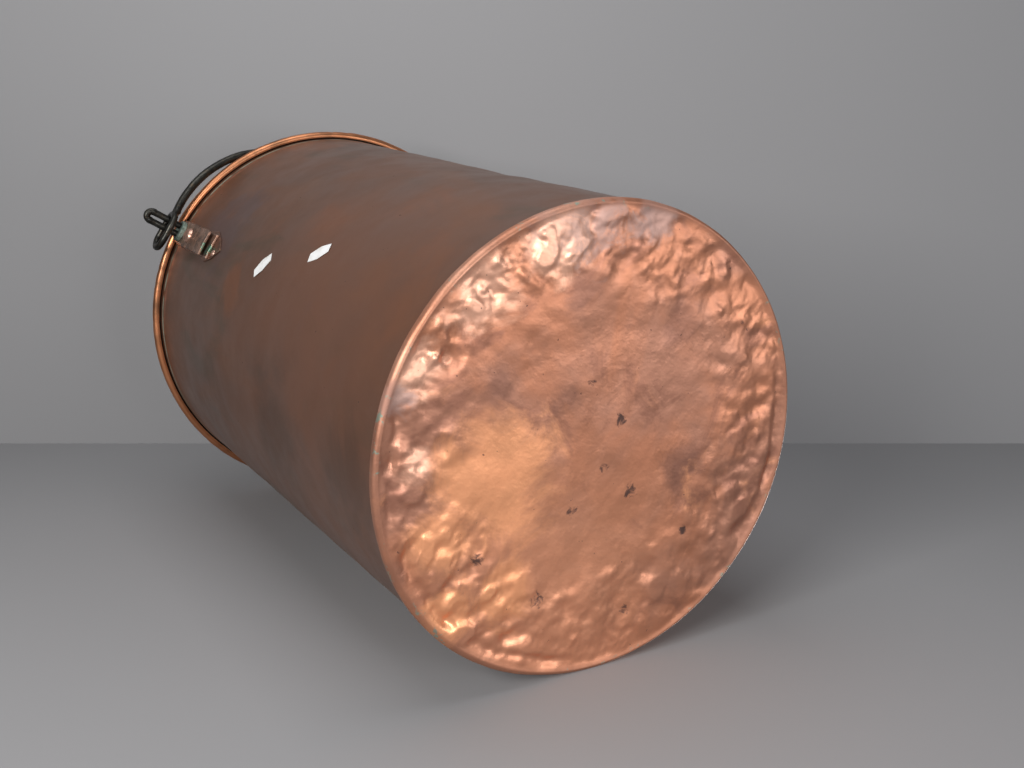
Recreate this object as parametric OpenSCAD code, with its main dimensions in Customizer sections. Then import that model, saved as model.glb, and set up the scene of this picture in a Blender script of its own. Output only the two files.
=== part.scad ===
// Copper bucket: a tall tapered vessel with a rolled rim, riveted ears and an iron bail.
// It stands on its bottom, +Z up, with the origin at the centre of the base.
// The bail turns about the X axis through the two ear eyes, and lies folded towards -Y.

/* [Vessel] */
// Outer diameter of the bottom
bottom_d = 360; // [340:1:370]
// Outer diameter of the wall just under the rolled rim
mouth_d = 398; // [385:1:410]
// Height from the base to the top of the rolled rim
height = 570; // [540:5:600]
// Thickness of the copper sheet
sheet = 1.2; // [1:0.1:1.8]
// Height of the bottom's turned-up skirt
skirt_h = 8; // [6:1:14]
// How far the middle of the bottom is raised off the rest ring
bottom_lift = 2; // [1:0.5:4]

/* [Rolled rim] */
// Diameter of the iron wire inside the rolled rim
rim_wire_d = 7; // [6:0.5:8]
// Angle round the wire at which the rolled sheet ends
roll_end = 245; // [235:5:255]

/* [Ears] */
// Width of the ear strap
strap_w = 26; // [22:1:28]
// Thickness of the ear strap
strap_t = 2.4; // [2:0.1:2.5]
// Thickness of the plate behind the strap
plate_t = 1.2; // [1:0.1:1.5]
// Length of the strap below the top of the rim
strap_l = 122; // [115:1:130]
// How far the strap's raised end stands off the plate
curl_lift = 6; // [5:0.5:7]
// How far the strap's lower layer shows past its raised end
tongue_reach = 7; // [5:0.5:8]
// Length of the backing plate below the top of the rim
plate_l = 152; // [145:1:160]
// Distance of the ear eye below the top of the rim
eye_drop = 22; // [22:0.5:26]
// Diameter of the ear eye's iron rod
eye_rod_d = 7; // [6:0.5:7]
// Distance between the middles of the ear eye's two legs
eye_pitch = 9.4; // [9.2:0.1:9.8]
// How far the ear eye reaches from the vessel's axis
eye_reach = 245.5; // [240:0.5:250]
// Diameter of the collar round the ear eye's legs
collar_d = 22; // [20:0.5:23]
// Thickness of the collar
collar_t = 4.5; // [3:0.5:5]

/* [Bail] */
// Diameter of the bail's iron rod
bail_d = 8.5; // [7:0.5:9]
// Diameter of the rod that forms the bail's end links
link_d = 7; // [6:0.5:7]
// Distance from the vessel's axis to the middle of the bail's rod at each end
bail_half_span = 215.8; // [215:0.1:217]
// How much further out each end link lies than the rod
link_out = 2; // [0:0.5:3]
// Angle between each end link and the rest of the bail
link_set = 20; // [10:1:24]
// Distance between the middles of each end link's two round ends
link_l = 14.4; // [12:0.2:16]
// Radius of the bail's shoulders
shoulder_r = 127; // [124:1:130]
// Angle that each shoulder turns through
shoulder_turn = 75; // [74:1:76]
// Angle at which the folded bail rests on the rim, above the level
bail_rest = 14; // [14:0.5:16]

/* [Paper labels] */
// Length of a label
label_l = 26; // [20:1:30]
// Width of a label at its middle
label_w = 14; // [10:0.5:16]
// Width of a label at its ends
label_end = 9; // [6:0.5:10]

/* [Hidden] */
$fn = 96;
bead_r = rim_wire_d / 2 + sheet;
bead_z = height - bead_r;
bead_ring_r = mouth_d / 2 - sheet + bead_r;
wall_rise = (mouth_d / 2 - bottom_d / 2 + sheet) / bead_z;
taper = atan(wall_rise);
corner_r = 3;
pan_r = bottom_d / 2 - corner_r;
rest_ring_r = 150;
lift_width = 90;

strap_top = 12;
curl_run = 14;
curl_end = height - strap_l;
curl_start = curl_end + 34;
notch_z = curl_start - curl_run / 2;
tongue_end = curl_end - tongue_reach;
strap_top_z = height - strap_top;
plate_shoulder = 120;
plate_half_top = 14.5;
plate_half_low = 17;

eye_z = height - eye_drop;
eye_r = eye_rod_d / 2;
leg_y = eye_pitch / 2;
eye_bend_x = eye_reach - eye_r - leg_y;
clinch_r = 4.5;
clinch_l = 9;
clinch_x = wall_r(eye_z) - sheet - 0.5;

ear_rivet_z = height - 48;
ear_rivet_d = 6;
ear_head_d = 16.6;
ear_head_h = 5;
plate_rivet_z = height - 138;
plate_rivet_y = 5;
plate_rivet_d = 3;
plate_head_d = 7;
plate_head_h = 2;
rove_t = 1.2;
rove_gap = 0.15;

link_inner_r = leg_y + eye_r + 0.7;
link_ring_r = link_inner_r + link_d / 2;
neck_run = 5;
neck_lap = 1.5;
shoulder_x = bail_half_span - shoulder_r;
shoulder_y = link_ring_r + neck_run;
crown_r = shoulder_x / cos(shoulder_turn) + shoulder_r;
crown_y = (crown_r - shoulder_r) * sin(shoulder_turn) - shoulder_y;

label_t = 0.2;
glue_t = 0.03;

// Outer radius of the tapered wall at height z.
function wall_r(z) = bottom_d / 2 - sheet + wall_rise * z;

// Smooth step from 0 to 1.
function ease(u) = let (v = min(max(u, 0), 1)) v * v * (3 - 2 * v);

// Stand-off of the strap's back at height z: flat on the plate, then raised at its lower end.
function strap_back(z) = plate_t + curl_lift * ease((curl_start - z) / curl_run);

// Puts a shape on the wall's outer face at height z on the +X side, with its +Z pointing outwards.
module on_wall(z, y = 0)
    rotate([0, 0, atan2(y, wall_r(z))])
        translate([wall_r(z), 0, z])
            rotate([0, 90 + taper, 0])
                children();

// A conical skin that follows the wall from z0 to z1, between two stand-offs.
module wall_band(z0, z1, near, far)
    rotate_extrude()
        polygon([
            [wall_r(z0) + near, z0], [wall_r(z0) + far, z0],
            [wall_r(z1) + far, z1], [wall_r(z1) + near, z1]
        ]);

// A prism along +X whose outline is drawn in Y and Z.
module ear_prism()
    rotate([90, 0, 90])
        translate([0, 0, mouth_d / 4])
            linear_extrude(mouth_d)
                children();

// The shape on the +X side, or its mirror image on the -X side.
module on_side(left)
    mirror([left ? 1 : 0, 0, 0])
        children();

// Straight holes for the ear eye's two legs.
module leg_holes()
    for (y = [-leg_y, leg_y])
        translate([mouth_d / 4, y, eye_z])
            rotate([0, 90, 0])
                cylinder(h = mouth_d / 2, r = eye_r);

// Holes for the ear rivet and the plate rivet.
module ear_rivet_hole()
    on_wall(ear_rivet_z)
        translate([0, 0, -15])
            cylinder(h = 40, r = ear_rivet_d / 2);

module plate_rivet_hole()
    on_wall(plate_rivet_z, plate_rivet_y)
        translate([0, 0, -15])
            cylinder(h = 30, r = plate_rivet_d / 2);

// Copper sheet wall, with its top edge rolled outwards round the rim wire.
module body_wall()
    color("peru")
        difference() {
            rotate_extrude() {
                polygon([
                    [wall_r(sheet) - sheet, sheet], [wall_r(sheet), sheet],
                    [wall_r(bead_z), bead_z], [wall_r(bead_z) - sheet, bead_z]
                ]);
                translate([bead_ring_r, bead_z])
                    difference() {
                        circle(bead_r);
                        circle(rim_wire_d / 2);
                        polygon([
                            [0, 0], [-2 * bead_r, 0], [-2 * bead_r, -2 * bead_r],
                            2 * bead_r * [cos(roll_end), sin(roll_end)]
                        ]);
                    }
            }
            for (left = [false, true])
                on_side(left) {
                    leg_holes();
                    ear_rivet_hole();
                    plate_rivet_hole();
                }
        }

// Copper bottom up to its rounded edge: a shallow cone inside a flat rest ring.
module bottom_pan()
    color("chocolate")
        rotate_extrude()
            polygon([
                [0, bottom_lift], [rest_ring_r - lift_width, bottom_lift], [rest_ring_r, 0], [pan_r, 0],
                [pan_r, sheet], [rest_ring_r, sheet], [rest_ring_r - lift_width, bottom_lift + sheet],
                [0, bottom_lift + sheet]
            ]);

// The bottom's rounded edge, turned up outside the wall. It is a node of its own, so that its
// collision pieces don't reach across the bottom.
module bottom_skirt()
    color("peru")
        rotate_extrude()
            polygon(concat(
                [for (a = [-90:15:0]) [pan_r + corner_r * cos(a), corner_r + corner_r * sin(a)]],
                [[wall_r(skirt_h) + sheet, skirt_h], [wall_r(skirt_h), skirt_h]],
                [[wall_r(sheet), sheet], [pan_r, sheet]]
            ));

// Iron wire inside the rolled rim.
module rim_wire()
    color("dimgray")
        rotate_extrude()
            translate([bead_ring_r, bead_z])
                circle(rim_wire_d / 2);

// Spade-shaped copper plate behind the strap.
module ear_plate(left)
    color("sienna")
        on_side(left)
            difference() {
                intersection() {
                    wall_band(height - plate_l - 5, strap_top_z, 0, plate_t);
                    ear_prism()
                        polygon([
                            [-plate_half_top, strap_top_z],
                            [-plate_half_top, height - plate_shoulder + 14],
                            [-plate_half_low, height - plate_shoulder],
                            [-plate_half_low * 0.62, height - plate_l + 14],
                            [0, height - plate_l],
                            [plate_half_low * 0.62, height - plate_l + 14],
                            [plate_half_low, height - plate_shoulder],
                            [plate_half_top, height - plate_shoulder + 14],
                            [plate_half_top, strap_top_z]
                        ]);
                }
                leg_holes();
                ear_rivet_hole();
                plate_rivet_hole();
            }

// Copper strap that holds the ear eye. Its lower end splits into a raised lip and a flat tongue.
module ear_strap(left)
    color("tan")
        on_side(left)
            difference() {
                intersection() {
                    rotate_extrude()
                        polygon(concat(
                            [for (z = [curl_end:2:curl_start]) [wall_r(z) + strap_back(z) + strap_t, z]],
                            [for (t = [strap_t, 0]) [wall_r(strap_top_z) + plate_t + t, strap_top_z]],
                            [for (t = [0, strap_t]) [wall_r(tongue_end) + plate_t + t, tongue_end]],
                            [[wall_r(notch_z) + plate_t + strap_t, notch_z]],
                            [for (z = [notch_z - 1:-2:curl_end]) [wall_r(z) + strap_back(z), z]]
                        ));
                    ear_prism()
                        translate([-strap_w / 2, tongue_end - 1])
                            square([strap_w, strap_top_z - tongue_end + 2]);
                }
                leg_holes();
                ear_rivet_hole();
            }

// Thick copper collar between the strap and the bail's link.
module eye_collar(left)
    color("darkseagreen")
        on_side(left)
            difference() {
                on_wall(eye_z)
                    translate([0, 0, plate_t + strap_t])
                        cylinder(h = collar_t, d = collar_d);
                leg_holes();
            }

// Iron hairpin eye: two legs through the wall, with their ends bent flat inside.
module ear_eye(left)
    color("darkslategray")
        on_side(left)
            translate([0, 0, eye_z]) {
                translate([eye_bend_x, 0, 0])
                    rotate([0, 0, -90])
                        rotate_extrude(angle = 180)
                            translate([leg_y, 0])
                                circle(eye_r);
                for (side = [0, 1])
                    mirror([0, side, 0])
                        eye_leg();
            }

// One leg of the ear eye: the straight rod, its bend and the clinched end along the wall.
module eye_leg() {
    rod_weld(eye_bend_x, leg_y, 0, eye_r);
    translate([clinch_x, leg_y, 0])
        rotate([0, 90, 0])
            cylinder(h = eye_bend_x - clinch_x, r = eye_r);
    translate([clinch_x, leg_y + clinch_r, 0])
        rotate([0, 0, 180])
            rotate_extrude(angle = 90)
                translate([clinch_r, 0])
                    circle(eye_r);
    translate([clinch_x - clinch_r, leg_y + clinch_r, 0])
        rotate([-90, 0, 0])
            cylinder(h = clinch_l, r1 = eye_r, r2 = eye_r * 0.7);
}

// A forge weld: a short, slightly thicker stretch where two lengths of rod meet, lying at an angle to +X.
module rod_weld(x, y, angle, r)
    translate([x, y, 0])
        rotate([0, 90, angle])
            cylinder(h = 3, r = r + 0.3, center = true);

// One domed rivet: head, shank and the end peened over its rove, standing on the wall.
module rivet(stand_off, shank_d, head_d, head_h) {
    dome_r = (pow(head_d / 2, 2) + pow(head_h, 2)) / (2 * head_h);
    translate([0, 0, stand_off])
        intersection() {
            translate([0, 0, head_h - dome_r])
                sphere(dome_r);
            cylinder(h = head_h, d = head_d);
        }
    translate([0, 0, -sheet - rove_gap - rove_t])
        cylinder(h = stand_off + sheet + rove_gap + rove_t, d = shank_d);
    translate([0, 0, -sheet - rove_gap - rove_t - shank_d / 4])
        cylinder(h = shank_d / 4, d = shank_d * 1.5);
}

// Domed rivet through the strap, the plate and the wall.
module ear_rivet(left)
    color("rosybrown")
        on_side(left)
            on_wall(ear_rivet_z)
                rivet(plate_t + strap_t, ear_rivet_d, ear_head_d, ear_head_h);

// Small rivet below the strap, through the plate and the wall.
module plate_rivet(left)
    color("rosybrown")
        on_side(left)
            on_wall(plate_rivet_z, plate_rivet_y)
                rivet(plate_t, plate_rivet_d, plate_head_d, plate_head_h);

// Copper washers under the rivets' inner ends.
module rivet_roves(left)
    color("burlywood")
        on_side(left) {
            on_wall(ear_rivet_z)
                rove(ear_rivet_d);
            on_wall(plate_rivet_z, plate_rivet_y)
                rove(plate_rivet_d);
        }

module rove(hole_d)
    translate([0, 0, -sheet - rove_gap - rove_t])
        difference() {
            cylinder(h = rove_t, d = 2.4 * hole_d);
            translate([0, 0, -1])
                cylinder(h = rove_t + 2, d = hole_d);
        }

// Half of the bail on the +X side, in its own plane: end link, neck and shoulder.
// The neck tapers from the shoulder's start into the near end of the link.
module half_bail() {
    neck = [link_out, shoulder_y - link_ring_r * cos(link_set), -link_ring_r * sin(link_set)];
    translate([bail_half_span + link_out, 0, 0])
        rotate([link_set, 0, 0])
            rotate([0, 90, 0])
                rotate([0, 0, 180])
                    end_link();
    translate([bail_half_span, -shoulder_y, 0])
        rotate([0, acos(neck[2] / norm(neck)), atan2(neck[1], neck[0])])
            translate([0, 0, -neck_lap])
                cylinder(h = norm(neck) + neck_lap, r1 = bail_d / 2 + 0.3, r2 = link_d / 2 + 0.3);
    translate([shoulder_x, -shoulder_y, 0])
        rotate([0, 0, -shoulder_turn])
            rotate_extrude(angle = shoulder_turn)
                translate([shoulder_r, 0])
                    circle(bail_d / 2);
    rod_weld(
        crown_r * cos(shoulder_turn), crown_y - crown_r * sin(shoulder_turn),
        90 - shoulder_turn, bail_d / 2
    );
}

// Closed oblong link round both legs of the ear eye.
module end_link() {
    rotate_extrude(angle = 180)
        translate([link_ring_r, 0])
            circle(link_d / 2);
    translate([0, -link_l, 0])
        rotate([0, 0, 180])
            rotate_extrude(angle = 180)
                translate([link_ring_r, 0])
                    circle(link_d / 2);
    for (side = [-1, 1])
        translate([side * link_ring_r, 0, 0])
            rotate([90, 0, 0])
                cylinder(h = link_l, d = link_d);
}

// Forged iron bail, folded down on the rim.
module bail_handle()
    color("dimgray")
        translate([0, 0, eye_z])
            rotate([-bail_rest, 0, 0]) {
                half_bail();
                mirror([1, 0, 0])
                    half_bail();
                translate([0, crown_y, 0])
                    rotate([0, 0, -180 + shoulder_turn])
                        rotate_extrude(angle = 180 - 2 * shoulder_turn)
                            translate([crown_r, 0])
                                circle(bail_d / 2);
            }

// Blank paper label stuck on the wall: its middle's height, its angle round the wall and its slant.
module paper_label(z, around, slant)
    color("white")
        rotate([0, 0, around])
            intersection() {
                wall_band(z - label_l, z + label_l, glue_t, glue_t + label_t);
                ear_prism()
                    translate([0, z])
                        rotate(slant)
                            polygon([
                                [-label_w / 2, 0], [-label_end / 2, -label_l / 2],
                                [label_end / 2, -label_l / 2], [label_w / 2, 0],
                                [label_end / 2, label_l / 2], [-label_end / 2, label_l / 2]
                            ]);
            }

body_wall();
bottom_pan();
bottom_skirt();
rim_wire();
ear_plate(true);  // left_ear_plate
ear_plate(false);  // right_ear_plate
ear_strap(true);  // left_ear_strap
ear_strap(false);  // right_ear_strap
eye_collar(true);  // left_eye_collar
eye_collar(false);  // right_eye_collar
ear_eye(true);  // left_ear_eye
ear_eye(false);  // right_ear_eye
ear_rivet(true);  // left_ear_rivet
ear_rivet(false);  // right_ear_rivet
plate_rivet(true);  // left_plate_rivet
plate_rivet(false);  // right_plate_rivet
rivet_roves(true);  // left_rivet_roves
rivet_roves(false);  // right_rivet_roves
bail_handle();
paper_label(210.5, 190.6, 35);  // upper_label
paper_label(302, 181.6, 50);  // lower_label
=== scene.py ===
"""Copper bucket lying on its side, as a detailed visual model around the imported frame."""
import math

import bmesh
import bpy
import numpy as np
from mathutils import Matrix, Vector, noise


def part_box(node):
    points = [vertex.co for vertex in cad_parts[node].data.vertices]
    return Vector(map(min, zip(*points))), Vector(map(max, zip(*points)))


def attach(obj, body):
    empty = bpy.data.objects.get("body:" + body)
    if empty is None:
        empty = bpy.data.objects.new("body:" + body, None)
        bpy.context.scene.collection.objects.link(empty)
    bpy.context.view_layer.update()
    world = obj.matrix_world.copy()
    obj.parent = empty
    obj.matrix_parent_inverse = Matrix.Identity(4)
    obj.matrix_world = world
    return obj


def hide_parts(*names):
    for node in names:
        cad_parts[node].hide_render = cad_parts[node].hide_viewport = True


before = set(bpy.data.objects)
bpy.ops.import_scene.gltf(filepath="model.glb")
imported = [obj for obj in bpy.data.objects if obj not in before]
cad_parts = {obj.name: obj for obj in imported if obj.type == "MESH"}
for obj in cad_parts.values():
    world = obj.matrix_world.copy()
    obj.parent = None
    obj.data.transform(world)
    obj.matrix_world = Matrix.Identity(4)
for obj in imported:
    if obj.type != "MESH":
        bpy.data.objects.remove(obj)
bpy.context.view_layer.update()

# ---- Sizes from the frame, in metres ----
MM = 0.001
BASE_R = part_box("bottom_skirt")[1].x
SKIRT_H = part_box("bottom_skirt")[1].z
RIM_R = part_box("body_wall")[1].y
RIM_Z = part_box("body_wall")[1].z
WIRE_LOW, WIRE_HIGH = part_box("rim_wire")
WIRE_R = (WIRE_HIGH.z - WIRE_LOW.z) / 2
BEAD_Z = (WIRE_HIGH.z + WIRE_LOW.z) / 2
SHEET = RIM_Z - WIRE_HIGH.z
BEAD_R = WIRE_R + SHEET
RING_R = RIM_R - BEAD_R
MOUTH_R = RING_R - WIRE_R

# ---- Relief of the sheet metal, in metres, and where the rolled edge ends, in degrees ----
BOTTOM_LIFT = 2 * MM
REST_RING_R = 150 * MM
LIFT_WIDTH = 90 * MM
CORNER_R = 3 * MM
EAR_DROP = 0.075
EAR_CLEAR = (0.06, 0.036, 0.095)
ROLL_END = 245

BLOW_COUNT = 380

# ---- How the vessel lies and where the camera stands, in bottom radii and degrees; the lens in mm ----
EAR_ROLL = 59.6
AXIS_TURN = 29.4
CAM_HEIGHT = 2.18
CAM_PITCH = 12.4
BASE_AHEAD = 4.172
BASE_RIGHT = 0.374
CAM_LENS = 37.4
SENSOR = 36.0
BACKDROP_AHEAD = 7.81
STAGE_HALF = 9
STAGE_NEAR = -6
STAGE_TOP = 9


# ---- Stage: camera, floor, backdrop and lights ----
def lying_axes():
    """The stage's right, forward and up, in the vessel's frame, and a point of the floor."""
    lean = math.atan2(RIM_R - BASE_R, RIM_Z)
    roll = math.radians(EAR_ROLL)
    side = Vector((-math.cos(roll), -math.sin(roll), 0))
    up = side * math.cos(lean) + Vector((0, 0, math.sin(lean)))
    along = (Vector((0, 0, 1)) - up * math.sin(lean)) / math.cos(lean)
    across = up.cross(along)
    turn = math.radians(AXIS_TURN)
    right = -math.sin(turn) * along - math.cos(turn) * across
    forward = math.cos(turn) * along - math.sin(turn) * across
    floor_point = -up * BASE_R * math.cos(lean)
    return right, forward, up, floor_point


RIGHT, FORWARD, UP, FLOOR_POINT = lying_axes()


def stage_point(to_right, ahead, above):
    """A point given from the camera's foot on the floor, in bottom radii."""
    foot = FLOOR_POINT - (RIGHT * BASE_RIGHT + FORWARD * BASE_AHEAD) * BASE_R
    return foot + (RIGHT * to_right + FORWARD * ahead + UP * above) * BASE_R


def add_camera():
    """The camera at the viewing angle, looking level across and down at the vessel."""
    pitch = math.radians(CAM_PITCH)
    look = FORWARD * math.cos(pitch) - UP * math.sin(pitch)
    top = RIGHT.cross(look)
    data = bpy.data.cameras.new("camera")
    data.lens = CAM_LENS
    data.sensor_width = SENSOR
    camera = bpy.data.objects.new("camera", data)
    bpy.context.scene.collection.objects.link(camera)
    turn = Matrix((RIGHT, top, -look)).transposed()
    camera.matrix_world = Matrix.Translation(stage_point(0, 0, CAM_HEIGHT)) @ turn.to_4x4()
    bpy.context.scene.camera = camera


def stage_patch(name, corners, material):
    """A flat patch that the camera and reflections see, but that neither blocks nor bounces light."""
    mesh = bpy.data.meshes.new(name)
    mesh.from_pydata([stage_point(*c) for c in corners], [], [range(len(corners))])
    patch = bpy.data.objects.new(name, mesh)
    bpy.context.scene.collection.objects.link(patch)
    mesh.materials.append(material)
    patch.visible_shadow = False
    patch.visible_diffuse = False


def softbox(name, place, aim, size, power, colour=(1, 1, 1)):
    """A square area light; place and aim are stage points in bottom radii, size is in radii."""
    data = bpy.data.lights.new(name, "AREA")
    data.shape = "SQUARE"
    data.size = size * BASE_R
    data.energy = power
    data.color = colour
    light = bpy.data.objects.new(name, data)
    bpy.context.scene.collection.objects.link(light)
    ray = stage_point(*aim) - stage_point(*place)
    light.matrix_world = (
        Matrix.Translation(stage_point(*place)) @ ray.to_track_quat("-Z", "Y").to_matrix().to_4x4()
    )


# ---- Node helpers ----
def put(tree, socket, value):
    """Links a socket, or sets a plain value."""
    if isinstance(value, bpy.types.NodeSocket):
        tree.links.new(value, socket)
    elif isinstance(value, (tuple, list)) and len(value) == 3 and socket.type == "RGBA":
        socket.default_value = (*value, 1)
    else:
        socket.default_value = value


def add(tree, kind, inputs=None, **settings):
    """A shader node with its settings and inputs."""
    made = tree.nodes.new("ShaderNode" + kind)
    for name, value in settings.items():
        setattr(made, name, value)
    for name, value in (inputs or {}).items():
        put(tree, made.inputs[name], value)
    return made


def do(tree, operation, a, b):
    """The result of a sum, product, difference or other Math operation on two values."""
    return add(tree, "Math", {0: a, 1: b}, operation=operation).outputs[0]


def remap(tree, value, low, high, to_low=0.0, to_high=1.0):
    """Smooth step of a value between two limits."""
    inputs = {0: value, 1: low, 2: high, 3: to_low, 4: to_high}
    return add(tree, "MapRange", inputs, interpolation_type="SMOOTHSTEP").outputs[0]


def tint(tree, factor, a, b):
    """Colour a where the factor is 0, and b where it is 1."""
    return add(tree, "Mix", {0: factor, 6: a, 7: b}, data_type="RGBA").outputs[2]


def place(tree):
    """The shaded point in the piece's own frame, in metres."""
    return add(tree, "TexCoord").outputs["Object"]


def stretched(tree, point, factors, turn=0.0):
    """The point with each coordinate multiplied, after a turn round Z in degrees."""
    inputs = {"Vector": point, "Scale": factors, "Rotation": (0, 0, math.radians(turn))}
    return add(tree, "Mapping", inputs, vector_type="POINT").outputs[0]


def cloud(tree, point, size, detail=3.0, roughness=0.55, warp=0.0):
    """Soft random values round 0.5, with features of the given size in metres."""
    inputs = {
        "Vector": point, "Scale": 1 / size, "Detail": detail,
        "Roughness": roughness, "Distortion": warp,
    }
    return add(tree, "TexNoise", inputs).outputs[0]


def near(tree, point, centre, reach):
    """1 at a centre, falling smoothly to 0 at the reach."""
    gap = add(tree, "VectorMath", {0: point, 1: centre}, operation="DISTANCE").outputs["Value"]
    return remap(tree, gap, 0.0, reach, 1.0, 0.0)


def patches(tree, point, spots, size, low, high):
    """1 in ragged patches round the spots, each a centre and a reach in metres; 0 elsewhere."""
    cover = 0.0
    for centre, reach in spots:
        cover = do(tree, "MAXIMUM", cover, near(tree, point, centre, reach))
    ragged = cloud(tree, point, size, 5, 0.65, 0.8)
    ragged = do(tree, "MULTIPLY", do(tree, "SUBTRACT", ragged, 0.5), 2.2)
    return remap(tree, do(tree, "ADD", cover, ragged), low, high)


def on_bottom(*spots):
    """Spots on the bottom from x, y and reach in bottom radii."""
    return [((x * BASE_R, y * BASE_R, 0), reach * BASE_R) for x, y, reach in spots]


def on_wall(*spots):
    """Spots on the wall from height, angle in degrees and reach, in metres."""
    placed = []
    for z, angle, reach in spots:
        r = BASE_R + (MOUTH_R - BASE_R) * z / BEAD_Z
        placed.append(((r * math.cos(math.radians(angle)), r * math.sin(math.radians(angle)), z), reach))
    return placed


def height_of(tree, point):
    """The Z coordinate of a point."""
    return add(tree, "SeparateXYZ", {0: point}).outputs["Z"]


def off_axis(tree, point):
    """The distance of a point from the vessel's axis."""
    level = stretched(tree, point, (1, 1, 0))
    return add(tree, "VectorMath", {0: level}, operation="LENGTH").outputs["Value"]


def bump(tree, height, strength, depth, normal=None):
    """A normal bent by a height, on top of another normal if one is given."""
    inputs = {"Height": height, "Strength": strength, "Distance": depth}
    if normal is not None:
        inputs["Normal"] = normal
    return add(tree, "Bump", inputs).outputs[0]


def new_material(name):
    """An empty material with a Principled shader; returns the material, its tree and the shader."""
    material = bpy.data.materials.new(name)
    material.use_nodes = True
    tree = material.node_tree
    tree.nodes.clear()
    shader = add(tree, "BsdfPrincipled")
    output = add(tree, "OutputMaterial")
    tree.links.new(shader.outputs[0], output.inputs[0])
    return material, tree, shader


def layer(tree, colour, cover, amount, over):
    """The colour with another one over it, as far as the cover and the amount say."""
    return tint(tree, do(tree, "MULTIPLY", cover, amount), colour, over)


# ---- Materials ----
def stage_material(name, colour):
    """Matt paint on the front of a patch; nothing on its back."""
    material, tree, shader = new_material(name)
    put(tree, shader.inputs["Roughness"], 0.75)
    tone = cloud(tree, place(tree), 0.9, 2)
    put(tree, shader.inputs["Base Color"], tint(tree, tone, colour, [0.9 * c for c in colour]))
    clear = add(tree, "BsdfTransparent")
    facing = add(tree, "NewGeometry").outputs["Backfacing"]
    mixed = add(tree, "MixShader", {0: facing, 1: shader.outputs[0], 2: clear.outputs[0]})
    output = next(n for n in tree.nodes if n.type == "OUTPUT_MATERIAL")
    tree.links.new(mixed.outputs[0], output.inputs[0])
    return material


def hammered_copper():
    """Bright bottom: orange and pink copper, tarnished patches, pits and edge verdigris, with painted light
    over the lower part, painted highlights near the left edge and a grey-pink haze that is partly a painted
    reflection.
    """
    material, tree, shader = new_material("hammered_copper")
    point = place(tree)
    radius = off_axis(tree, point)

    orange, pink = (0.56, 0.235, 0.135), (0.50, 0.235, 0.155)
    colour = tint(tree, remap(tree, cloud(tree, point, 0.10, 4, 0.6, 0.6), 0.38, 0.62), orange, pink)
    brown = remap(tree, cloud(tree, point, 0.055, 5, 0.6, 1.0), 0.50, 0.66)
    colour = layer(tree, colour, brown, 0.75, (0.34, 0.150, 0.100))
    tarnish = patches(tree, point, on_bottom(
        (-0.46, -0.52, 0.22), (-0.56, -0.04, 0.18), (-0.28, -0.12, 0.20), (0.08, -0.60, 0.22),
        (0.42, -0.10, 0.22), (0.30, 0.50, 0.20), (-0.62, 0.80, 0.16)), 0.05, 0.40, 1.0)
    colour = layer(tree, colour, tarnish, 0.6, (0.27, 0.130, 0.095))
    # Painted light: a broad lighter, warmer orange over the lower part of the bottom stands in for the light
    # that part catches.
    warm = near(tree, point, (0.12 * BASE_R, 0.66 * BASE_R, 0), 0.85 * BASE_R)
    colour = layer(tree, colour, warm, 0.85, (0.80, 0.355, 0.205))
    clean = patches(tree, point, on_bottom(
        (-0.36, 0.34, 0.48), (-0.46, 0.60, 0.30), (-0.30, 0.86, 0.20), (-0.12, 0.72, 0.28)), 0.06, 0.20, 0.85)
    colour = tint(tree, clean, colour, (0.99, 0.44, 0.225))
    # Painted highlights: pale pink patches near the left and upper-left edge stand in for highlights.
    pale = patches(tree, point, on_bottom(
        (-0.92, 0.06, 0.24), (-0.84, -0.30, 0.34), (-0.62, -0.64, 0.30), (-0.74, 0.40, 0.16)),
        0.04, 0.35, 1.05)
    colour = layer(tree, colour, pale, 0.85, (0.90, 0.50, 0.35))
    # Grey-pink haze near the upper and left edge: partly a duller film, partly a painted reflection of the
    # grey surroundings.
    haze_and_reflection = patches(tree, point, on_bottom((-0.60, -0.74, 0.42), (-0.30, -0.90, 0.26), (-0.96, 0.20, 0.18)),
                   0.025, 0.42, 0.95)
    colour = layer(tree, colour, haze_and_reflection, 0.65, (0.50, 0.36, 0.33))

    edge = remap(tree, radius, 0.965 * BASE_R, 0.99 * BASE_R)
    colour = layer(tree, colour, edge, 0.6, (0.36, 0.165, 0.105))
    nicks = remap(tree, cloud(tree, point, 0.011, 3, 0.7), 0.60, 0.68)
    green = do(tree, "MULTIPLY", edge, nicks)
    colour = layer(tree, colour, green, 0.8, (0.24, 0.33, 0.27))

    marks = patches(tree, point, on_bottom(
        (-0.19, -0.21, 0.06), (0.03, -0.14, 0.08), (0.06, 0.07, 0.07), (0.02, 0.29, 0.08), (0.06, 0.68, 0.09),
        (0.61, 0.16, 0.05), (0.36, -0.75, 0.04), (0.52, 0.58, 0.06), (-0.30, 0.62, 0.07), (0.24, 0.12, 0.10)),
        0.007, 0.60, 1.05)
    pits = remap(tree, cloud(tree, point, 0.0045, 2, 0.6), 0.735, 0.765)
    dark = do(tree, "MAXIMUM", marks, do(tree, "MULTIPLY", pits, 0.8))
    colour = layer(tree, colour, dark, 0.85, (0.035, 0.03, 0.035))

    put(tree, shader.inputs["Base Color"], colour)
    shader.inputs["Metallic"].default_value = 0.75
    gloss = remap(tree, cloud(tree, point, 0.03, 4, 0.6), 0.3, 0.7, 0.32, 0.46)
    gloss = do(tree, "ADD", gloss, do(tree, "MULTIPLY", do(tree, "MAXIMUM", haze_and_reflection, dark), 0.2))
    gloss = do(tree, "ADD", gloss, do(tree, "MULTIPLY", edge, 0.12))
    put(tree, shader.inputs["Roughness"], gloss)
    grain = bump(tree, cloud(tree, point, 0.0035, 3, 0.6), 0.35, 0.25 * MM)
    put(tree, shader.inputs["Normal"], bump(tree, cloud(tree, point, 0.012, 3, 0.6), 0.5, 0.9 * MM, grain))
    return material


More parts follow.
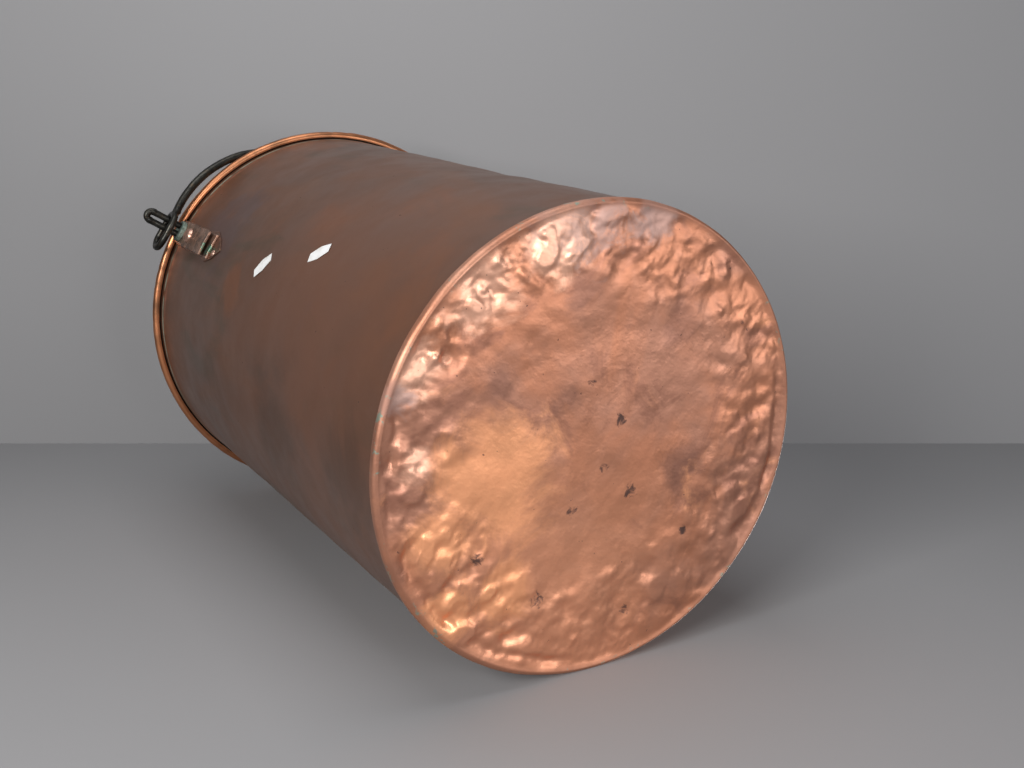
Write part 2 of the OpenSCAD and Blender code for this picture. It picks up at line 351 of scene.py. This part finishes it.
def patinated_copper():
    """Brown wall: satin patina with warm and purple patches, a bright bead and a verdigris line, with a
    painted highlight band below the bead and dark patches that are partly a painted dark reflection.
    """
    material, tree, shader = new_material("patinated_copper")
    point = place(tree)
    height = height_of(tree, point)

    dull, red = (0.160, 0.085, 0.057), (0.190, 0.086, 0.049)
    colour = tint(tree, remap(tree, cloud(tree, point, 0.16, 3, 0.5, 0.5), 0.4, 0.62), dull, red)
    warm = remap(tree, cloud(tree, stretched(tree, point, (1, 1, 0.6)), 0.085, 4, 0.55, 1.2), 0.52, 0.72)
    colour = layer(tree, colour, warm, 0.55, (0.23, 0.092, 0.040))
    olive = remap(tree, cloud(tree, stretched(tree, point, (1.3, 1.3, 0.5)), 0.07, 4, 0.6, 0.9), 0.54, 0.70)
    colour = layer(tree, colour, olive, 0.55, (0.092, 0.066, 0.040))
    rust = patches(tree, point, on_wall(
        (0.14, -147, 0.07), (0.06, -159, 0.07), (0.04, -172, 0.06), (0.24, -160, 0.07), (0.50, -128, 0.05),
        (0.36, 172, 0.06), (0.30, 30, 0.08), (0.15, 80, 0.07), (0.42, 105, 0.07), (0.10, -60, 0.06)),
        0.05, 0.40, 1.0)
    colour = layer(tree, colour, rust, 0.7, (0.25, 0.095, 0.042))
    (low_centre, low_reach), = on_wall((0.12, 165, 0.30))
    low_side = near(tree, point, low_centre, low_reach)
    colour = layer(tree, colour, low_side, 0.7, (0.27, 0.125, 0.078))
    # Dark patches: the two near 141 to 143 degrees low on the wall are a painted dark reflection; the other
    # three are stains.
    stain = patches(tree, point, on_wall(
        (0.20, 143, 0.15), (0.06, 141, 0.10), (0.40, 20, 0.14), (0.18, -35, 0.12), (0.30, 100, 0.12)),
        0.12, 0.40, 1.1)
    colour = layer(tree, colour, stain, 0.5, (0.080, 0.050, 0.034))
    purple = patches(tree, point, on_wall((0.44, -171, 0.10), (0.34, 60, 0.08)), 0.05, 0.3, 0.9)
    colour = layer(tree, colour, purple, 0.6, (0.130, 0.085, 0.085))
    pits = remap(tree, cloud(tree, point, 0.004, 1, 0.5), 0.80, 0.83)
    colour = layer(tree, colour, pits, 0.7, (0.06, 0.05, 0.045))

    outward = add(tree, "VectorMath", {0: add(tree, "NewGeometry").outputs["Normal"],
                                       1: stretched(tree, point, (1, 1, 0))}, operation="DOT_PRODUCT")
    inside = remap(tree, outward.outputs["Value"], -0.06, -0.01, 1.0, 0.0)
    lining = tint(tree, cloud(tree, point, 0.06, 4, 0.6), (0.30, 0.145, 0.090), (0.46, 0.235, 0.150))
    colour = layer(tree, colour, inside, 0.85, lining)
    bead = remap(tree, height, BEAD_Z - BEAD_R - 0.6 * MM, BEAD_Z - BEAD_R - 0.1 * MM)
    outside = remap(tree, off_axis(tree, point), MOUTH_R + 0.2 * MM, MOUTH_R + 1.2 * MM)
    bead = do(tree, "MULTIPLY", bead, outside)
    worn = tint(tree, cloud(tree, point, 0.02, 4, 0.6), (0.50, 0.19, 0.085), (0.70, 0.31, 0.16))
    grime = remap(tree, cloud(tree, point, 0.03, 3, 0.5), 0.42, 0.80)
    worn = tint(tree, do(tree, "MULTIPLY", grime, 0.75), worn, (0.15, 0.085, 0.05))
    colour = tint(tree, bead, colour, worn)
    outer_face = do(tree, "SUBTRACT", 1.0, inside)
    under = do(tree, "MULTIPLY",
               remap(tree, height, BEAD_Z - BEAD_R - 9 * MM, BEAD_Z - BEAD_R - 7 * MM),
               remap(tree, height, BEAD_Z - BEAD_R - 5 * MM, BEAD_Z - BEAD_R - 3 * MM, 1.0, 0.0))
    under = do(tree, "MULTIPLY", under, outer_face)
    crust = do(tree, "MULTIPLY", under, remap(tree, cloud(tree, point, 0.018, 3), 0.3, 0.55))
    colour = layer(tree, colour, crust, 0.8, (0.33, 0.36, 0.29))
    # Painted highlight: a pinkish band 9 to 17 mm below the bead stands in for light on the curve of the
    # wall.
    line = do(tree, "MULTIPLY",
              remap(tree, height, BEAD_Z - BEAD_R - 17 * MM, BEAD_Z - BEAD_R - 13 * MM),
              remap(tree, height, BEAD_Z - BEAD_R - 12 * MM, BEAD_Z - BEAD_R - 9 * MM, 1.0, 0.0))
    line = do(tree, "MULTIPLY", line, remap(tree, cloud(tree, point, 0.03, 3), 0.38, 0.66))
    line = do(tree, "MULTIPLY", line, outer_face)
    colour = layer(tree, colour, line, 0.6, (0.44, 0.22, 0.17))

    put(tree, shader.inputs["Base Color"], colour)
    metal = remap(tree, bead, 0.0, 1.0, 0.72, 1.0)
    put(tree, shader.inputs["Metallic"], do(tree, "SUBTRACT", metal, do(tree, "MULTIPLY", inside, 0.35)))
    gloss = remap(tree, cloud(tree, point, 0.05, 4, 0.6), 0.3, 0.7, 0.31, 0.42)
    gloss = do(tree, "ADD", gloss, do(tree, "MULTIPLY", do(tree, "MAXIMUM", crust, pits), 0.4))
    put(tree, shader.inputs["Roughness"], gloss)
    fine = bump(tree, cloud(tree, point, 0.004, 3, 0.6), 0.12, 0.10 * MM)
    put(tree, shader.inputs["Normal"], bump(tree, cloud(tree, point, 0.03, 2, 0.45), 0.25, 0.7 * MM, fine))
    return material


def worn_metal(name, colours, size, metallic, roughness, grain=0.3, crust=()):
    """Aged metal of three colours, light, dark and stain, with green crust round the given spots."""
    light, dark, stain = colours
    material, tree, shader = new_material(name)
    point = place(tree)
    colour = tint(tree, remap(tree, cloud(tree, point, size, 4, 0.6, 0.8), 0.4, 0.62), light, dark)
    spots = remap(tree, cloud(tree, point, size * 0.35, 4, 0.7, 0.6), 0.56, 0.66)
    colour = layer(tree, colour, spots, 0.75, stain)
    if crust:
        colour = tint(tree, patches(tree, point, crust, size * 0.5, 0.45, 0.7), colour, (0.16, 0.27, 0.20))
    put(tree, shader.inputs["Base Color"], colour)
    shader.inputs["Metallic"].default_value = metallic
    low, high = roughness
    put(tree, shader.inputs["Roughness"],
        remap(tree, cloud(tree, point, size * 0.5, 4, 0.6), 0.3, 0.7, low, high))
    fine = bump(tree, cloud(tree, point, 0.0011, 3, 0.6), grain, 0.2 * MM)
    put(tree, shader.inputs["Normal"], bump(tree, cloud(tree, point, 0.006, 3, 0.6), grain, 0.8 * MM, fine))
    return material


def label_paper():
    """Blank white paper with faint fibres and yellowing."""
    material, tree, shader = new_material("label_paper")
    point = place(tree)
    aged = remap(tree, cloud(tree, point, 0.012, 4, 0.6), 0.35, 0.75)
    put(tree, shader.inputs["Base Color"], tint(tree, aged, (0.66, 0.67, 0.68), (0.52, 0.51, 0.48)))
    shader.inputs["Roughness"].default_value = 0.8
    put(tree, shader.inputs["Normal"], bump(tree, cloud(tree, point, 0.0007, 3), 0.3, 0.08 * MM))
    return material


# ---- Mesh helpers ----
def fractal(points, size, octaves, seed):
    """Random values round 0 at an (n, 3) array of points, with features of the given size."""
    shift = Vector((7.3, 3.1, 5.7)) * seed
    return np.array([noise.fractal(Vector(p) / size + shift, 1.0, 2.0, octaves) for p in points])


def step(low, high, value):
    """Smooth step from 0 at low to 1 at high, on arrays."""
    part = np.clip((value - low) / (high - low), 0, 1)
    return part * part * (3 - 2 * part)


def hump(points, centre, reach):
    """1 at a centre, falling smoothly to 0 at the reach, on an (n, 2) or (n, 3) array."""
    return step(reach, 0, np.linalg.norm(points - np.array(centre), axis=1))


def make_piece(name, points, faces, body, slot_name, material, *nodes):
    """A smooth mesh piece that rides on a body and stands for CAD nodes."""
    mesh = bpy.data.meshes.new(name)
    mesh.from_pydata(points, [], faces)
    finish_mesh(mesh)
    mesh.materials.append(material)
    piece = bpy.data.objects.new(name, mesh)
    bpy.context.scene.collection.objects.link(piece)
    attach(piece, body)
    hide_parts(*nodes)
    return piece


def finish_mesh(mesh):
    """Makes all faces point outwards and shades them smooth."""
    shape = bmesh.new()
    shape.from_mesh(mesh)
    bmesh.ops.recalc_face_normals(shape, faces=shape.faces)
    shape.to_mesh(mesh)
    shape.free()
    mesh.shade_smooth()


def band(lower, upper):
    """Quads between two closed loops of the same number of vertices."""
    count = len(lower)
    return [(lower[i], lower[(i + 1) % count], upper[(i + 1) % count], upper[i]) for i in range(count)]


def halving_band(outer, inner):
    """Triangles between a closed loop and one with half as many vertices."""
    faces = []
    count = len(inner)
    for i in range(count):
        after = (i + 1) % count
        a, b, c = outer[2 * i], outer[2 * i + 1], outer[(2 * i + 2) % len(outer)]
        faces += [(a, b, inner[i]), (b, inner[after], inner[i]), (b, c, inner[after])]
    return faces


# ---- Sheet metal ----
def bottom_relief(flat):
    """How far the bottom stands in from its CAD face, in metres, at points given in radii."""
    x, y = flat[:, 0], flat[:, 1]
    radius = np.hypot(x, y)
    angle = np.degrees(np.arctan2(y, x))
    space = np.column_stack((x, y, np.zeros(len(x)))) * BASE_R
    bent = space.copy()
    bent[:, :2] += 0.003 * np.column_stack([fractal(space, 0.035, 2, seed) for seed in (11, 12)])
    upper_left = 0.5 + 0.5 * np.cos(np.radians(angle + 150))
    start = 0.44 + 0.20 * upper_left
    beaten = step(start, start + 0.25, radius + 0.14 * fractal(space, 0.05, 2, 4))
    edge = step(0.995, 0.93, radius) * (0.75 + 0.85 * step(60, 130, np.abs(angle + 10)))
    out = (0.2 + beaten * edge) * (0.8 * fractal(bent, 0.024, 2, 1) + 0.45 * fractal(bent, 0.009, 2, 2))
    out += 1.1 * fractal(space, 0.06, 2, 3) * step(0.98, 0.8, radius)
    blows = np.random.default_rng(5)
    for _ in range(BLOW_COUNT):
        far, turn = math.sqrt(blows.uniform(0.30, 0.90)), blows.uniform(-math.pi, math.pi)
        reach, lean = 0.03 + 0.09 * blows.uniform(0, 1) ** 1.4, blows.uniform(0, math.pi)
        gap = flat - (far * math.cos(turn), far * math.sin(turn))
        along = gap[:, 0] * math.cos(lean) + gap[:, 1] * math.sin(lean)
        across = gap[:, 0] * math.sin(lean) - gap[:, 1] * math.cos(lean)
        rise = blows.choice((-11.0, 15.0)) * reach
        out += (0.2 + 0.8 * beaten * edge) * rise * step(reach, 0, np.hypot(along, across * 1.5))
    for centre, reach, rise in (
        ((-0.71, 0.39), 0.09, 2.2), ((-0.56, -0.79), 0.03, -1.4), ((0.56, 0.25), 0.10, 1.3),
        ((0.63, -0.22), 0.12, 1.6), ((-0.42, 0.72), 0.10, 1.4), ((0.36, 0.62), 0.12, 0.9),
    ):
        out += rise * hump(flat, centre, reach)
    wander = 0.014 * fractal(space, 0.05, 2, 6)
    for low, high in ((60, 166), (-48, -2)):
        along = step(low, low + 15, angle) * step(high, high - 15, angle)
        depth = np.clip(1.3 + 1.8 * fractal(space, 0.04, 2, 7), 0.1, 3)
        out -= along * depth * step(0.032, 0, np.abs(radius - 0.935 - wander))
    calm = step(0.998, 0.955, radius)
    return np.clip(1.4 - 1.15 * out, 0, 5) * calm * MM


def bulge_at(turns, at, width):
    """1 at an angle, falling smoothly to 0 at the width on both sides; degrees, and turns in radians."""
    return step(width, 0, np.abs((np.degrees(turns) - at + 180) % 360 - 180))


def base_z(radius):
    """Height of the CAD bottom's outer face."""
    return BOTTOM_LIFT * step(REST_RING_R, REST_RING_R - LIFT_WIDTH, radius)


def bottom_skin(material):
    """The beaten bottom with its rounded corner and its skirt outside the wall."""
    cells = 256
    flat_r = BASE_R - CORNER_R
    a, b = np.meshgrid(np.linspace(-1, 1, cells + 1), np.linspace(-1, 1, cells + 1), indexing="ij")
    wide = np.abs(a) >= np.abs(b)
    radius = np.where(wide, a, b)
    ratio = np.divide(np.where(wide, b, a), radius, out=np.zeros_like(a), where=radius != 0)
    angle = np.where(wide, ratio, 2 - ratio) * math.pi / 4
    x, y = (radius * np.cos(angle)).ravel(), (radius * np.sin(angle)).ravel()
    disc = np.column_stack((x, y)) * flat_r
    inset = bottom_relief(disc / BASE_R)
    points = [np.column_stack((disc, base_z(np.hypot(*disc.T)) + inset))]
    index = np.arange((cells + 1) ** 2).reshape(cells + 1, cells + 1)
    faces = [
        (index[i, j], index[i + 1, j], index[i + 1, j + 1], index[i, j + 1])
        for i in range(cells) for j in range(cells)
    ]
    loop = [*index[cells, :-1], *index[:0:-1, cells], *index[0, :0:-1], *index[:-1, 0]]
    turns = -math.pi / 4 + np.arange(len(loop)) * 2 * math.pi / len(loop)
    made = (cells + 1) ** 2

    def ring(radii, heights, count):
        """Adds a closed loop of points and returns their numbers."""
        nonlocal made
        around = turns[::len(turns) // count]
        points.append(np.column_stack((radii * np.cos(around), radii * np.sin(around),
                                       np.broadcast_to(heights, around.shape))))
        made += count
        return list(range(made - count, made))

    full = np.column_stack((np.cos(turns), np.sin(turns), 0 * turns)) * BASE_R
    wave = 0.35 * MM * fractal(full, 0.03, 3, 21)
    lip = 0.5 * MM * fractal(full, 0.02, 3, 22)
    wave += MM * sum(rise * bulge_at(turns, at, width) for at, width, rise in
                     ((105, 55, 1.5), (42, 25, -0.8), (-75, 35, -0.8), (-10, 30, 0.6)))
    profile = [
        (flat_r + CORNER_R * math.sin(t), CORNER_R * (1 - math.cos(t)))
        for t in np.radians(range(15, 91, 15))
    ]
    profile += [(BASE_R, z * MM) for z in (4.2, 5.6, 7.0)]
    for r, z in profile:
        fade = min(1.0, z / CORNER_R)
        outer = ring(r + (0.7 * MM + wave) * fade, z, len(loop))
        faces += band(loop, outer)
        loop = outer
    top_r = BASE_R + (RING_R - WIRE_R - BASE_R) * SKIRT_H / BEAD_Z
    for r, z in ((top_r - 0.3 * MM, SKIRT_H - 0.2 * MM), (top_r - 0.8 * MM, SKIRT_H),
                 (top_r - SHEET - 0.1 * MM, SKIRT_H - 0.5 * MM), (BASE_R - 2 * SHEET, SHEET)):
        outer = ring(r + wave * 0.6, z + lip * (z > SHEET), len(loop))
        faces += band(loop, outer)
        loop = outer
    for count, steps in ((1024, (0.96, 0.93)), (512, (0.90, 0.86, 0.82)), (256, (0.77, 0.71, 0.65, 0.59)),
                         (128, (0.52, 0.44, 0.36, 0.28)), (64, (0.20, 0.12, 0.05))):
        for part in steps:
            around = turns[::len(turns) // count]
            at = np.column_stack((np.cos(around), np.sin(around))) * part
            z = base_z(np.full(count, part * BASE_R)) + bottom_relief(at) + SHEET
            inner = ring(part * BASE_R, z, count)
            faces += band(loop, inner) if len(loop) == count else halving_band(loop, inner)
            loop = inner
    faces.append(tuple(loop))
    return make_piece("beaten_bottom", np.vstack(points), faces, "bucket", "hammered_copper",
                      material, "bottom_pan", "bottom_skirt")


def wall_dents(space):
    """How far the wall stands in from its CAD face, in metres."""
    inset = 0.55 * fractal(space * (1, 1, 0.7), 0.11, 2, 31) + 0.18 * fractal(space, 0.035, 2, 32)
    inset += 0.45 * np.clip(fractal(space, 0.05, 3, 33), 0.1, 1)
    around = np.degrees(np.arctan2(space[:, 1], space[:, 0]))
    for angle, z, reach, depth in (
        (-112, 0.22, 0.060, 1.4), (-122, 0.30, 0.055, 1.2), (-106, 0.14, 0.045, 1.0),
        (-130, 0.39, 0.050, 0.8), (143, 0.20, 0.070, 1.4), (136, 0.11, 0.050, 1.0),
        (60, 0.25, 0.080, 1.6), (20, 0.42, 0.060, 1.0), (-60, 0.35, 0.060, 1.2), (95, 0.40, 0.050, 1.1),
    ):
        arc = np.radians((around - angle + 180) % 360 - 180) * BASE_R
        inset += depth * step(reach, 0, np.hypot(arc, space[:, 2] - z))
    calm = step(SKIRT_H, SKIRT_H + 0.02, space[:, 2]) * step(BEAD_Z - BEAD_R, BEAD_Z - 0.03, space[:, 2])
    for side in (-1, 1):
        ear = np.array((side * MOUTH_R, 0, RIM_Z - EAR_DROP))
        away = np.abs(space - ear) / EAR_CLEAR
        calm *= step(0.85, 1.15, away.max(axis=1))
    return (inset + 0.5) * calm * MM


def wall_skin(material):
    """The tapered wall with its rolled bead, as one closed skin."""
    columns = 420
    around = np.arange(columns) * 2 * math.pi / columns
    cos, sin = np.cos(around), np.sin(around)
    ring = np.column_stack((cos, sin, 0 * cos)) * RIM_R
    lumps = 0.42 * fractal(ring, 0.016, 3, 41) + 0.35 * fractal(ring, 0.06, 2, 42)
    nicks = np.clip(fractal(ring, 0.009, 2, 43) - 0.35, 0, 1)
    bulge = np.clip(0.95 + 0.11 * lumps - 0.3 * nicks, 0.78, 1.0)
    sag = 0.45 * MM * fractal(ring, 0.12, 2, 44)
    rise = (MOUTH_R - BASE_R + SHEET) / BEAD_Z
    rows = []

    def wall_row(z, depth):
        """Adds a row of wall points at a height, on the outer face or at a depth under it."""
        r = BASE_R - SHEET + rise * z - depth
        space = np.column_stack((cos, sin, np.full(columns, 0.0))) * r + (0, 0, z)
        r = r - wall_dents(space)
        rows.append(np.column_stack((r * cos, r * sin, np.full(columns, z))))

    def bead_row(angle, radius):
        """Adds a row of points round the wire, at an angle of the roll."""
        turn = math.radians(angle)
        loose = step(1.0, -1.0, math.cos(turn)) if angle < 180 else 1.0
        r = RING_R + radius * bulge * math.cos(turn)
        z = BEAD_Z + radius * bulge * math.sin(turn) + sag * (1 - loose) * 0.5
        rows.append(np.column_stack((r * cos, r * sin, z)))

    heights = np.linspace(SHEET, BEAD_Z - 1.5 * MM, 118)
    for z in heights:
        wall_row(z, 0.0)
    inner_roll = WIRE_R + 0.02 * MM
    for angle in range(180, ROLL_END - 361, -15):
        bead_row(angle % 360, inner_roll)
    for part in (0.3, 0.7):
        bead_row(ROLL_END - 4 * math.sin(math.pi * part), inner_roll + (BEAD_R - inner_roll) * part)
    for angle in range(ROLL_END - 360, 181, 10):
        bead_row(angle % 360, BEAD_R)
    for z in np.linspace(BEAD_Z - 3 * MM, SHEET, 44):
        wall_row(z, SHEET)

    index = np.arange(len(rows) * columns).reshape(len(rows), columns)
    faces = []
    for i in range(len(rows)):
        faces += band(list(index[i]), list(index[(i + 1) % len(rows)]))
    return make_piece("wall_skin", np.vstack(rows), faces, "bucket", "patinated_copper",
                      material, "body_wall")


# ---- Small parts worked from their CAD solids ----
def modified(piece, kind, **settings):
    """Runs one modifier on a piece and keeps its result as the mesh."""
    modifier = piece.modifiers.new(kind, kind)
    for name, value in settings.items():
        setattr(modifier, name, value)
    bpy.context.view_layer.update()
    graph = bpy.context.evaluated_depsgraph_get()
    mesh = bpy.data.meshes.new_from_object(piece.evaluated_get(graph))
    piece.modifiers.clear()
    piece.data = mesh


def worked(node, body, material, voxel, lumps, passes=3, seed=0):
    """A CAD node as worked metal: rounded edges and lumps, each a height and a size in metres."""
    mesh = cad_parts[node].data.copy()
    shape = bmesh.new()
    shape.from_mesh(mesh)
    bmesh.ops.remove_doubles(shape, verts=shape.verts, dist=1e-6)
    shape.to_mesh(mesh)
    shape.free()
    piece = bpy.data.objects.new("worked_" + node, mesh)
    bpy.context.scene.collection.objects.link(piece)
    modified(piece, "REMESH", mode="VOXEL", voxel_size=voxel)
    modified(piece, "SMOOTH", factor=0.5, iterations=passes)
    mesh = piece.data
    count = len(mesh.vertices)
    points = np.empty(count * 3)
    normals = np.empty(count * 3)
    mesh.vertices.foreach_get("co", points)
    mesh.vertex_normals.foreach_get("vector", normals)
    points, normals = points.reshape(-1, 3), normals.reshape(-1, 3)
    offset = np.zeros(count)
    for height, size in lumps:
        seed += 1
        offset += height * fractal(points, size, 2, 50 + seed)
    mesh.vertices.foreach_set("co", (points + normals * offset[:, None]).ravel())
    mesh.materials.clear()
    mesh.materials.append(material)
    mesh.shade_smooth()
    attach(piece, body)
    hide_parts(node)
    return piece


def finish_node(node, material):
    """Gives a CAD node that stays as it is a better material."""
    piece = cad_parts[node]
    piece.data.materials.clear()
    piece.data.materials.append(material)


# ---- The vessel ----
add_camera()
bpy.context.scene.view_settings.view_transform = "Standard"

copper_bottom = hammered_copper()
copper_wall = patinated_copper()
fitting = worn_metal("fitting_copper", ((0.36, 0.20, 0.14), (0.20, 0.12, 0.09), (0.10, 0.13, 0.10)),
                     0.012, 1.0, (0.28, 0.5))
slot_crust = [((side * (MOUTH_R - 1 * MM), 4 * MM, RIM_Z - 0.126), 14 * MM) for side in (-1, 1)]
strap_metal = worn_metal("strap_copper", ((0.42, 0.25, 0.18), (0.20, 0.13, 0.10), (0.11, 0.075, 0.06)),
                         0.010, 0.8, (0.24, 0.45), 0.45, slot_crust)
verdigris = worn_metal("verdigris_copper", ((0.25, 0.31, 0.27), (0.13, 0.18, 0.15), (0.06, 0.07, 0.055)),
                       0.008, 0.35, (0.5, 0.75))
rivet_metal = worn_metal("rivet_copper", ((0.56, 0.34, 0.26), (0.36, 0.22, 0.17), (0.17, 0.12, 0.10)),
                         0.009, 0.75, (0.26, 0.42))
iron = worn_metal("forged_iron", ((0.042, 0.041, 0.036), (0.022, 0.022, 0.020), (0.070, 0.052, 0.034)),
                  0.016, 0.8, (0.28, 0.44), 0.5)
rim_iron = worn_metal("rim_iron", ((0.05, 0.04, 0.035), (0.03, 0.028, 0.025), (0.12, 0.06, 0.035)),
                      0.01, 0.6, (0.5, 0.75), 0.5)
paper = label_paper()

bottom_skin(copper_bottom)
wall_skin(copper_wall)
worked("bail_handle", "bail", iron, 0.9 * MM, ((0.35 * MM, 0.03), (0.14 * MM, 0.007)))
for number, hand in enumerate(("left", "right")):
    seed = 10 * number
    worked(f"{hand}_ear_eye", "bucket", iron, 0.5 * MM, ((0.2 * MM, 0.01),), 3, seed)
    worked(f"{hand}_ear_plate", "bucket", fitting, 0.5 * MM, ((0.12 * MM, 0.008),), 2, seed)
    worked(f"{hand}_ear_strap", "bucket", strap_metal, 0.5 * MM,
           ((0.25 * MM, 0.009),), 3, seed)
    worked(f"{hand}_eye_collar", "bucket", verdigris, 0.4 * MM,
           ((0.35 * MM, 0.007),), 4, seed)
    worked(f"{hand}_ear_rivet", "bucket", rivet_metal, 0.35 * MM,
           ((0.3 * MM, 0.006),), 4, seed)
    worked(f"{hand}_plate_rivet", "bucket", rivet_metal, 0.25 * MM,
           ((0.15 * MM, 0.004),), 3, seed)
    finish_node(f"{hand}_rivet_roves", rivet_metal)
finish_node("rim_wire", rim_iron)
for label in ("upper_label", "lower_label"):
    finish_node(label, paper)

# ---- The stage ----
pale = stage_material("pale_paint", (0.27, 0.27, 0.28))
stage_patch("floor", ((-STAGE_HALF, STAGE_NEAR, 0), (STAGE_HALF, STAGE_NEAR, 0),
                      (STAGE_HALF, BACKDROP_AHEAD, 0), (-STAGE_HALF, BACKDROP_AHEAD, 0)), pale)
stage_patch("backdrop", ((-STAGE_HALF, BACKDROP_AHEAD, 0), (STAGE_HALF, BACKDROP_AHEAD, 0),
                         (STAGE_HALF, BACKDROP_AHEAD, STAGE_TOP), (-STAGE_HALF, BACKDROP_AHEAD, STAGE_TOP)),
            pale)
softbox("key_light", (-4.4, -2.0, 4.4), (0, 4.5, 0.8), 4.0, 24, (1.0, 0.98, 0.95))
softbox("top_light", (-1.0, 4.0, 8.0), (0, 5.0, 0), 5.0, 8)
softbox("front_light", (4.0, -2.5, 2.6), (0.3, 4.0, 0.8), 3.0, 8)
softbox("side_light", (7.0, 1.0, 1.6), (0.3, 4.0, 0.8), 3.2, 3.5)
softbox("back_light", (5.5, 11.5, -4.0), (-0.5, 5.3, 1.0), 4.0, 34)

world = bpy.data.worlds.new("pale_world")
bpy.context.scene.world = world
world.use_nodes = True
world.node_tree.nodes["Background"].inputs[0].default_value = (0.15, 0.15, 0.155, 1)
